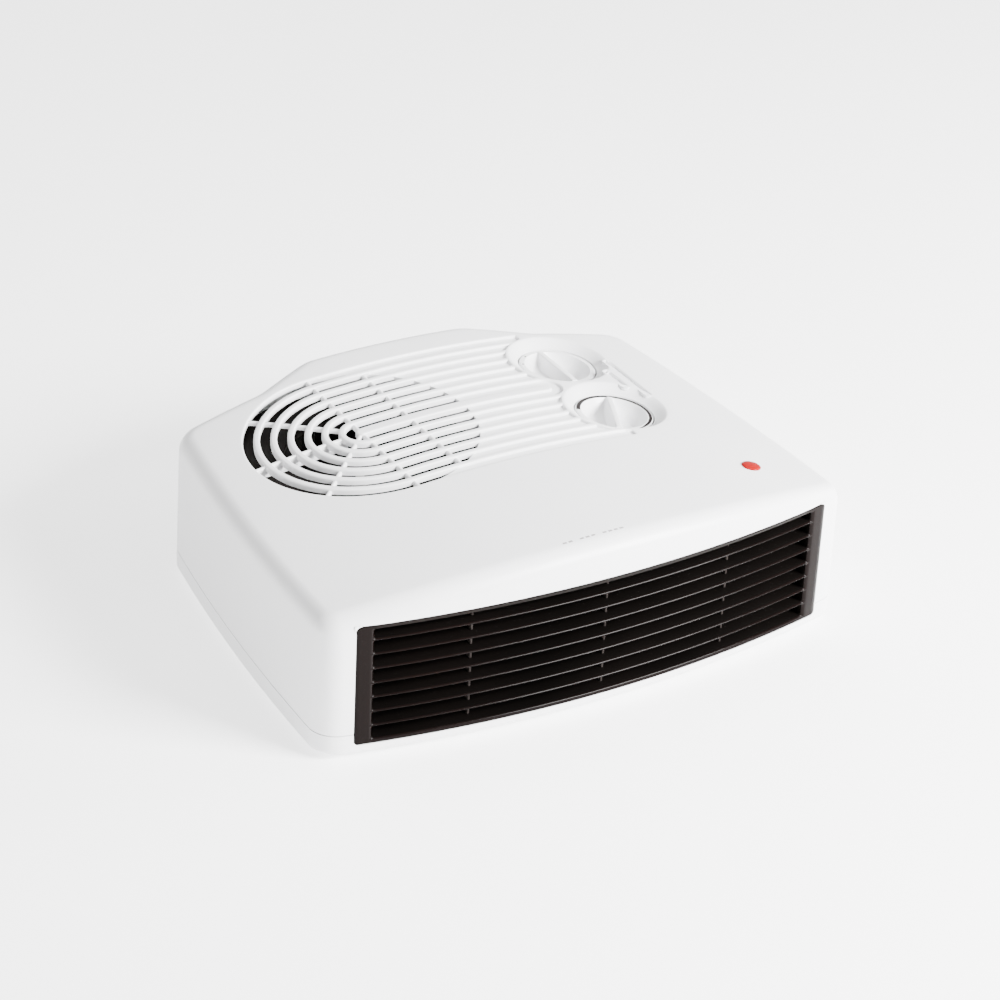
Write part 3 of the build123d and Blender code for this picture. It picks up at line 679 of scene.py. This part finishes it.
# (grain, depth) of the plastics' fine relief
MATT, SMOOTH, PRINTED = (500.0, 0.0001), (700.0, 0.00003), (900.0, 0.00002)
COARSE, FLOOR_GRAIN = (300.0, 0.0001), (60.0, 0.00001)
WHITE = moulded("case_white", (0.80, 0.80, 0.81), (0.83, 0.83, 0.835), 0.38)
KNOB_WHITE = moulded("knob_white", (0.78, 0.78, 0.79), (0.81, 0.81, 0.815), 0.32)
GRILLE = moulded("grille_dark", (0.0022, 0.0009, 0.0007), (0.0034, 0.0015, 0.0012), 0.18, SMOOTH, 0.06)
# painted shade: a darker, matt copy of the grille's plastic for the walls deep inside its cells
GRILLE_PAINTED_SHADE = moulded(
    "grille_painted_shade", (0.0012, 0.0009, 0.0007), (0.0024, 0.0017, 0.0014), 0.65, MATT, 0.04)
# painted highlight: the ties get a lighter, glossier copy of the grille's dark plastic, so that they show as
# bright ticks
TIE_PAINTED_HIGHLIGHT = moulded("grille_ties_painted_highlight", (0.02, 0.016, 0.015), (0.03, 0.025, 0.023), 0.3, SMOOTH, 0.4)
PRINT = moulded("print_dark", (0.012, 0.009, 0.009), (0.018, 0.014, 0.014), 0.5, PRINTED, 0.15)
FAINT = moulded("print_faint", (0.26, 0.25, 0.25), (0.31, 0.30, 0.30), 0.5)
SLOT_LOOKS = {
    "case_white": WHITE,
    "knob_white": KNOB_WHITE,
    "grille_dark": GRILLE,
    "lens_red": lens_material(),
}
# slot: (maker, dark, light, roughness, then grain and gloss of a plastic or the lines' direction of a metal)
OTHER_SLOTS = {
    "black_rubber": (moulded, (0.018, 0.018, 0.018), (0.035, 0.035, 0.034), 0.75, MATT, 0.3),
    "zinc_steel": (metal, (0.48, 0.48, 0.47), (0.62, 0.62, 0.60), 0.36),
    # painted shade: the sheet steel is much darker than the other steels, to darken the inside of the case
    "steel_sheet": (metal, (0.14, 0.135, 0.13), (0.20, 0.19, 0.185), 0.55, (1.0, 14.0, 1.0)),
    "bracket_steel": (metal, (0.44, 0.44, 0.43), (0.55, 0.55, 0.53), 0.40, (14.0, 1.0, 1.0)),
    "mica": (moulded, (0.06, 0.045, 0.03), (0.10, 0.075, 0.05), 0.6, COARSE, 0.2),
    "ceramic": (moulded, (0.26, 0.24, 0.21), (0.34, 0.32, 0.29), 0.7, MATT, 0.2),
    "resistance_wire": (metal, (0.05, 0.042, 0.036), (0.09, 0.075, 0.065), 0.6, (30.0, 1.0, 1.0)),
    "copper": (metal, (0.45, 0.19, 0.09), (0.62, 0.30, 0.16), 0.35, (1.0, 40.0, 1.0)),
    "bearing_brass": (metal, (0.55, 0.40, 0.18), (0.70, 0.54, 0.28), 0.33),
    # painted shade: the grey plastic inside is coloured nearly black, so that the insides look as dark as the
    # shaded openings; nearly black, so that the insides look as dark as the photo's openings
    "grey_plastic": (moulded, (0.006, 0.005, 0.0045), (0.010, 0.0085, 0.0075), 0.65, MATT, 0.06),
    "black_plastic": (moulded, (0.016, 0.014, 0.013), (0.024, 0.022, 0.020), 0.45, MATT, 0.35),
    "lamp_glass": (moulded, (0.70, 0.42, 0.32), (0.78, 0.52, 0.42), 0.12),
    "lead_brown": (moulded, (0.10, 0.045, 0.02), (0.15, 0.07, 0.035), 0.45),
    "lead_blue": (moulded, (0.02, 0.07, 0.26), (0.04, 0.11, 0.36), 0.45),
}
for slot_name, (make, *values) in OTHER_SLOTS.items():
    SLOT_LOOKS[slot_name] = make(slot_name, *values)


def dress_cad_nodes():
    """Every CAD node gets the look of its material slot."""
    for part in frame["record"]["subparts"]:
        mesh = NODES[part["node"]].data
        mesh.materials.clear()
        mesh.materials.append(SLOT_LOOKS[part["material_slot"]])


# ---------------------------------------------------------------- cover
def make_cover():
    bm = thicken(cover_faces().raw())
    bars = Skin()
    for angle, start in SPOKES:
        t = math.radians(angle)
        ray = np.array((math.cos(t), math.sin(t)))
        low = LEFT_SPOKE_DEEP if angle == LEFT_SPOKE else RIB_DEEP
        bar_between(bars, FAN + start * ray, FAN + (INLET_R + 1.0) * ray, low)
    reach = math.sqrt(INLET_R ** 2 - CROSSBAR_X ** 2) + 1.0
    x = FAN[0] + CROSSBAR_X
    bar_between(bars, (x, FAN[1] - reach), (x, FAN[1] - CROSSBAR_GAP), RIB_DEEP)
    bar_between(bars, (x, FAN[1] + CROSSBAR_GAP), (x, FAN[1] + reach), RIB_DEEP)
    to_object(bars.raw(), "inlet_spokes", "root", WHITE)
    to_object(bm, "cover_shell", "root", WHITE, ("top_cover",), 32.0)


def case_front(x, z, back):
    """Point some way and a hair behind the bowed front wall of the case."""
    centre, radius = front_circle()
    inner = radius - back - (z - FLOOR_GAP) * math.tan(DRAFT)
    return (x, centre[1] - math.sqrt(inner ** 2 - x ** 2) + 0.02, z)


def make_opening_corners():
    """Small fillets that round the corners of the outlet opening, as part of the case."""
    radius, overlap = CORNER_FILL_R, 0.4
    skin = Skin()
    for sx in (-1, 1):
        for z0, sz in ((OPENING_Z, -1), (GRILLE_LOW - 0.2, 1)):
            corner = (sx * (OPENING_X + overlap), z0 - sz * overlap)
            plan = [corner, (corner[0], z0 + sz * radius)]
            cx, cz = sx * (OPENING_X - radius), z0 + sz * radius
            for a in np.radians(np.linspace(0, 90, 9)):
                plan.append((cx + sx * radius * math.cos(a), cz - sz * radius * math.sin(a)))
            plan.append((sx * (OPENING_X - radius), corner[1]))
            rows = [[case_front(x, z, back) for x, z in plan] for back in (0.0, CORNER_FILL_DEEP)]
            skin.grid(rows, wrap=True)
            skin.cap_ends(rows)
    to_object(skin.raw(0.001), "opening_corners", "root", WHITE)


# ---------------------------------------------------------------- outlet grille
def bowed(x, deep, z):
    """Point of the grille, some depth behind its bowed front."""
    x, z = np.asarray(x, float), np.asarray(z, float)
    y = GRILLE_Y + GRILLE_R - np.sqrt((GRILLE_R - np.asarray(deep, float)) ** 2 - x ** 2)
    return np.stack(np.broadcast_arrays(x, y + (z - GRILLE_TOP) * math.tan(DRAFT), z), axis=-1)


def cell_loop(half_x, low, high, radius, spans=72, corner=5):
    """x and z round an opening with round corners, always the same number of points."""
    xs, zs = [], []
    for cx, cz, start in ((1, -1, -90), (1, 1, 0), (-1, 1, 90), (-1, -1, 180)):
        for i in range(corner + 1):
            a = math.radians(start + 90 * i / corner)
            xs.append(cx * (half_x - radius) + radius * math.cos(a))
            zs.append((high - radius if cz > 0 else low + radius) + radius * math.sin(a))
        if cz * cx > 0:
            line = np.linspace(half_x - radius, -half_x + radius, spans + 1)[1:-1]
            xs += list(line * cx)
            zs += [high if cz > 0 else low] * len(line)
    return np.array(xs), np.array(zs)


def step_back(x, front):
    """How far the cells' edge lies behind the grille's face, or before its back, near an end panel."""
    away = np.clip((BAR_HALF_X + PANEL_ROLL - np.abs(x)) / STEP_WIDE, 0, 1)
    return STEP_BACK * away * away * (3 - 2 * away) if front else -STEP_DEEP * away


def grille_cells(skin, middles):
    """The walls of the openings between the slats, from the front to the back."""
    r = SLAT_THICK / 2
    half = BAR_HALF_X + PANEL_ROLL
    # (inset from the slat's middle, depth, corner radius) of the rounded front, the flat and the back
    profile = (
        (0.0, 0.0, 0.01), (0.10 * r, 0.02, 0.2), (0.3 * r, 0.1, 0.7), (0.6 * r, 0.32, 1.1),
        (0.88 * r, 0.7, 1.4), (r, 1.2, 1.5), (r, GRILLE_DEEP - 0.6, 1.5), (0.7 * r, GRILLE_DEEP, 1.2),
        (0.0, GRILLE_DEEP, 0.01),
    )
    for low, high in zip(middles[:-1], middles[1:]):
        loops = []
        for inset, deep, corner in profile:
            xs, zs = cell_loop(half - inset * PANEL_ROLL / r, low + inset, high - inset, corner)
            loops.append(bowed(xs, deep + step_back(xs, deep < GRILLE_DEEP / 2), zs))
        skin.grid(loops, wrap=True)


def grille_faces(skin, middles):
    """The frame round the cells, front and back: strips above and below, and the end panels."""
    half = BAR_HALF_X + PANEL_ROLL
    line = np.unique(np.round(cell_loop(half, middles[0], middles[-1], 0.01)[0], 6))
    zs = [GRILLE_LOW + GRILLE_EDGE, *middles, GRILLE_TOP - GRILLE_EDGE]
    for deep in (0.0, GRILLE_DEEP):
        edge = deep + step_back(line, deep == 0.0)
        skin.grid([bowed(line, edge, middles[0]), bowed(line, deep, zs[0])])
        skin.grid([bowed(line, edge, middles[-1]), bowed(line, deep, zs[-1])])
        for s in (-1, 1):
            xs = s * np.linspace(half, GRILLE_HALF - GRILLE_EDGE, 5)
            skin.grid([bowed(xs, deep, z) for z in zs])
    beside = np.linspace(half, GRILLE_HALF, 5)[1:-1]
    end = GRILLE_HALF - GRILLE_EDGE
    xs = np.unique(np.round(np.concatenate([line, beside, -beside, [-end, end]]), 6))
    back = GRILLE_DEEP - GRILLE_EDGE
    for z_face, z_in in ((GRILLE_LOW, zs[0]), (GRILLE_TOP, zs[-1])):
        skin.grid([bowed(xs, 0, z_in), bowed(xs, GRILLE_EDGE, z_face)])
        skin.grid([bowed(xs, GRILLE_DEEP, z_in), bowed(xs, back, z_face)])
        skin.grid([bowed(xs, GRILLE_EDGE, z_face), bowed(xs, back, z_face)])
    for s in (-1, 1):
        inner = np.array([bowed(s * end, 0, z) for z in zs])
        outer = np.array([bowed(s * GRILLE_HALF, GRILLE_EDGE, z) for z in zs])
        skin.grid([inner, outer])
        deep_in = np.array([bowed(s * end, GRILLE_DEEP, z) for z in zs])
        deep_out = np.array([bowed(s * GRILLE_HALF, back, z) for z in zs])
        skin.grid([deep_in, deep_out])
        skin.grid([outer, deep_out])
        for z_face, k in ((GRILLE_LOW, 0), (GRILLE_TOP, -1)):
            front_tip, back_tip = bowed(s * end, GRILLE_EDGE, z_face), bowed(s * end, back, z_face)
            skin.add([inner[k], outer[k], front_tip], [(0, 1, 2)])
            skin.add([deep_in[k], deep_out[k], back_tip], [(0, 1, 2)])
            skin.add([outer[k], deep_out[k], back_tip, front_tip], [(0, 1, 2, 3)])


def make_ties():
    """Three upright ties set back between the slats."""
    w = TIE_WIDE / 2
    section = [(-w, 7.5), (-w * 0.6, 7.0), (w * 0.6, 7.0), (w, 7.5), (w, 10.0), (-w, 10.0)]
    ties = Skin()
    for x in (-TIE_X, 0.0, TIE_X):
        heights = np.linspace(GRILLE_LOW + 1, GRILLE_TOP - 1, 12)
        rows = [[bowed(x + dx, deep, z) for dx, deep in section] for z in heights]
        ties.grid(rows, wrap=True)
        ties.cap_ends(rows)
    # the ties take the lighter copy of the grille's plastic, a painted highlight
    to_object(ties.raw(), "grille_ties", "root", TIE_PAINTED_HIGHLIGHT)


def make_grille():
    """The outlet grille in one piece; the walls deep inside its cells get a darker, matt copy of its plastic,
    painted shade inside the openings.
    """
    r = SLAT_THICK / 2
    middles = [SLAT_LOW + r + k * SLAT_PITCH for k in range(SLATS)] + [GRILLE_TOP - 1.2 - r]
    skin = Skin()
    grille_cells(skin, middles)
    grille_faces(skin, middles)
    grille = to_object(skin.raw(0.02), "outlet_grille", "root", GRILLE, ("front_grille",), 40.0)
    # second slot: painted shade on the faces set back inside the cells
    grille.data.materials.append(GRILLE_PAINTED_SHADE)
    for face in grille.data.polygons:
        x, y, z = face.center / MM
        behind = y - float(bowed(x, 0.0, z)[1])
        if behind > 0.9 + STEP_BACK and abs(x) < BAR_HALF_X + 1.0 and GRILLE_LOW + 1 < z < GRILLE_TOP - 0.5:
            face.material_index = 1
    make_ties()


# ---------------------------------------------------------------- controls
def knob_points(turn):
    """Loops of a knob's outside about its own axis, and the grids of its two scoops and finger bar."""
    reach = math.sqrt(SCOOP_R ** 2 - BAR_HALF ** 2)
    along = reach * np.sin(np.radians(np.linspace(-90, 90, 57)))
    wide = np.sqrt(np.maximum(SCOOP_R ** 2 - along ** 2, BAR_HALF ** 2))
    share = 0.5 - 0.5 * np.cos(np.radians(np.linspace(0, 180, 31)))
    across = BAR_HALF + (wide - BAR_HALF)[:, None] * share[None]
    v = np.broadcast_to(along[:, None], across.shape)
    rim = np.clip((SCOOP_R - np.hypot(across, v)) / SCOOP_RIM, 0, 1)
    flank = np.clip((across - BAR_HALF) / SCOOP_FLANK, 0, 1)
    deep = SCOOP_DEEP * np.sin(rim * math.pi / 2) * np.sin(flank * math.pi / 2) ** 0.8
    height = KNOB_TOP - deep
    scoops = [np.stack([s * across, v, height], axis=-1) for s in (1, -1)]
    raised = ((0.0, 0.0), (0.12, 0.28), (0.45, 0.5), (1.0, 0.58))
    top = [(BAR_HALF - inset, KNOB_TOP + rise) for inset, rise in raised]
    bar = [[(s, t, z) for s, z in top + [(-s, z) for s, z in reversed(top)]] for t in along]
    right = np.column_stack([wide, along])
    circle = np.concatenate([right, -right])
    rings = [(0.0, KNOB_LOW), (KNOB_R, KNOB_LOW), (KNOB_R, KNOB_TOP - KNOB_ROUND)]
    for t in np.radians((22, 45, 68, 90)):
        rings.append((KNOB_R - KNOB_ROUND * (1 - math.cos(t)), KNOB_TOP - KNOB_ROUND * (1 - math.sin(t))))
    rings += [(20.6, KNOB_TOP), (SCOOP_R + 0.5, KNOB_TOP), (SCOOP_R, KNOB_TOP)]
    unit = circle / np.linalg.norm(circle, axis=1)[:, None]
    loops = [np.column_stack([unit * r, np.full(len(unit), z)]) for r, z in rings]
    spin = Matrix.Rotation(turn, 4, "Z")
    return [turned(g, spin) for g in (np.array(loops), *scoops, np.array(bar))]


def make_knob(name, y, body, turn, replaced):
    """A knob with a finger bar between two scoops, turned about its own axis to where it rests."""
    place = tilted(KNOB_X, y)
    skin = Skin()
    loops, right, left, bar = (turned(g, place) for g in knob_points(turn))
    skin.grid(loops, wrap=True)
    skin.grid(right)
    skin.grid(left)
    skin.grid(bar)
    skin.cap_ends(bar)
    to_object(skin.raw(0.02), name, body, KNOB_WHITE, (replaced,), 40.0)


def make_scale_mark():
    """The tapering arc printed on the thermostat knob's rim."""
    place = tilted(KNOB_X, FAN[1] - KNOB_SPREAD)
    skin = Skin()
    rows = []
    start, sweep, outer, widest = 155, 243, 21.9, 2.4
    top, low = KNOB_TOP + PRINT_RISE, KNOB_TOP - 0.25
    for t in np.linspace(0, 1, 97):
        a = math.radians(start - sweep * t)
        inner = outer - widest * (1 - 0.3 * t) * min(1.0, (1.0 - t) / 0.12 + 0.08)
        section = ((outer, low), (outer, top), (inner, top), (inner, low))
        rows.append([(r * math.cos(a), r * math.sin(a), z) for r, z in section])
    rows = turned(rows, place)
    skin.grid(rows, wrap=True)
    skin.cap_ends(rows)
    to_object(skin.raw(0.001), "thermostat_scale_mark", "thermostat", PRINT)


def make_print():
    """Small plain printed marks: two dots on the selector's rim and a faint dashed line near the front edge."""
    dots = Skin()
    place = tilted(KNOB_X, FAN[1] + KNOB_SPREAD)
    a = np.radians(np.arange(20) * 18)
    rim, dot_r = 20.5, 0.6
    for angle in (126.0, 158.0):
        t = math.radians(angle)
        x, y = rim * math.cos(t), rim * math.sin(t)
        rings = []
        for z in (KNOB_TOP - 0.3, KNOB_TOP + PRINT_RISE):
            ring = np.column_stack([x + dot_r * np.cos(a), y + dot_r * np.sin(a), 0 * a + z])
            rings.append(turned(ring, place))
        dots.grid(rings, wrap=True)
        dots.cap_ends(rings)
    to_object(dots.raw(0.001), "selector_marks", "selector", PRINT)
    dashes = Skin()
    left, pitch, long, front, back = -27.0, 3.5, 2.3, -118.6, -117.2
    for k in (0, 1, 3, 4, 5, 7, 8, 9, 10):
        x = left + pitch * k
        plan = np.array(((x, front), (x + long, front), (x + long, back), (x, back)))
        rings = [on_dome(plan, drop) for drop in (0.6, -0.04)]
        dashes.grid(rings, wrap=True)
        dashes.cap_ends(rings)
    to_object(dashes.raw(0.001), "front_marks", "root", FAINT)


def make_lens():
    """Domed lens of the indicator lamp, on its stem."""
    place = tilted(*LENS)
    count, rim, rise = 64, 0.35, 1.15
    a = np.radians(np.arange(count) * 360 / count)
    skin = Skin()
    rings = [(0.0, LENS_LOW), (LENS_STEM_R, LENS_LOW), (LENS_STEM_R, -0.4), (LENS_R, -0.2), (LENS_R, rim)]
    for t in np.radians((15, 30, 45, 60, 75, 90)):
        rings.append((LENS_R * math.cos(t) * 0.99 + 0.01, rim + rise * math.sin(t)))
    loops = [np.column_stack([r * np.cos(a), r * np.sin(a), np.full(count, z)]) for r, z in rings]
    skin.grid(turned(loops, place), wrap=True)
    look = SLOT_LOOKS["lens_red"]
    to_object(skin.raw(0.002), "lamp_lens", "root", look, ("indicator_lens",))


# ---------------------------------------------------------------- heating coils
def make_coils(node, y):
    """Wound resistance wire in place of the plain rods of one heating circuit."""
    low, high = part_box(node)
    radius, wire, pitch, runs, turn_steps = 3.0, 0.32, 2.6, 6, 14
    x0, x1 = low.x / MM, high.x / MM
    first = low.z / MM + radius
    rise = (high.z / MM - radius - first) / (runs - 1)
    skin = Skin()
    turns = (x1 - x0) / pitch
    t = np.linspace(0, 1, int(turns * turn_steps) + 1)
    angle = 2 * math.pi * turns * t
    radial = np.column_stack([0 * t, np.cos(angle), np.sin(angle)])
    winding = radius - wire
    for k in range(runs):
        z = first + k * rise
        centre = np.column_stack([x0 + (x1 - x0) * t, y + winding * np.cos(angle), z + winding * np.sin(angle)])
        rows = []
        for s in np.radians((0, 72, 144, 216, 288)):
            rows.append(centre + wire * (math.cos(s) * radial + math.sin(s) * np.array((1.0, 0, 0))))
        skin.grid(rows + [rows[0]])
        for end in (0, -1):
            skin.add([row[end] for row in rows], [tuple(range(len(rows)))])
    look = SLOT_LOOKS["resistance_wire"]
    to_object(skin.raw(0.001), node + "_wound", "root", look, (node,))


# ---------------------------------------------------------------- stage, light and camera
def make_stage():
    """A pale glowing floor, a little under the feet so that the two aren't in one plane."""
    mesh = bpy.data.meshes.new("floor")
    skin = bmesh.new()
    half, low = 6.0, -0.0004
    plan = ((-half, -half), (half, -half), (half, half), (-half, half))
    skin.faces.new([skin.verts.new((x, y, low)) for x, y in plan])
    skin.to_mesh(mesh)
    skin.free()
    floor = bpy.data.objects.new("floor", mesh)
    bpy.context.scene.collection.objects.link(floor)
    pale = moulded("floor_pale", (0.90, 0.90, 0.90), (0.91, 0.91, 0.91), 0.9, FLOOR_GRAIN, 0.1)
    shader = pale.node_tree.nodes["Principled BSDF"]
    shader.inputs["Emission Color"].default_value = (1.0, 1.0, 1.0, 1.0)
    shader.inputs["Emission Strength"].default_value = 1.6
    mesh.materials.append(pale)


def area_light(name, place, target, size, power):
    """A rectangular lamp that faces a target; metres and watts."""
    data = bpy.data.lights.new(name, "AREA")
    data.shape = "RECTANGLE"
    data.size, data.size_y = size
    data.energy = power
    lamp = bpy.data.objects.new(name, data)
    bpy.context.scene.collection.objects.link(lamp)
    lamp.location = place
    way = Vector(target) - Vector(place)
    lamp.rotation_mode = "QUATERNION"
    lamp.rotation_quaternion = way.to_track_quat("-Z", "Y")


def make_light():
    """Even white surroundings, a key lamp from the front right, and weak lamps from the right and above."""
    world = bpy.data.worlds.new("studio")
    bpy.context.scene.world = world
    world.use_nodes = True
    background = world.node_tree.nodes["Background"]
    background.inputs["Color"].default_value = (1.0, 1.0, 1.0, 1.0)
    background.inputs["Strength"].default_value = 0.85
    area_light("key", (0.75, -1.15, 0.85), (0, -0.05, 0.06), (0.7, 0.55), 150.0)
    area_light("side", (1.7, -0.25, 0.55), (0, -0.05, 0.05), (0.5, 0.6), 35.0)
    area_light("top", (0.1, 0.1, 1.5), (0, 0, 0.06), (1.4, 1.4), 12.0)


def make_camera():
    """The photo's camera, from a perspective fit of the object's edges."""
    data = bpy.data.cameras.new("camera")
    data.sensor_width = 36.0
    data.lens = 111.33
    data.clip_start, data.clip_end = 0.01, 50.0
    cam = bpy.data.objects.new("camera", data)
    bpy.context.scene.collection.objects.link(cam)
    right = Vector((0.85909, -0.50911, 0.05260))
    up = Vector((0.21617, 0.45408, 0.86434))
    back = right.cross(up)
    turn = Matrix((right, up, back)).transposed()
    cam.matrix_world = Matrix.Translation((-0.7980, -1.2693, 0.9254)) @ turn.to_4x4()
    bpy.context.scene.camera = cam


dress_cad_nodes()
make_cover()
make_opening_corners()
make_grille()
make_knob("thermostat_knob_scooped", FAN[1] - KNOB_SPREAD, "thermostat", THERMOSTAT_TURN, "thermostat_knob")
make_knob("selector_knob_scooped", FAN[1] + KNOB_SPREAD, "selector", 0.0, "selector_knob")
make_scale_mark()
make_print()
make_lens()
make_coils("front_heating_circuit", -89.0)
make_coils("rear_heating_circuit", -77.0)
make_stage()
make_light()
make_camera()
bpy.context.view_layer.update()
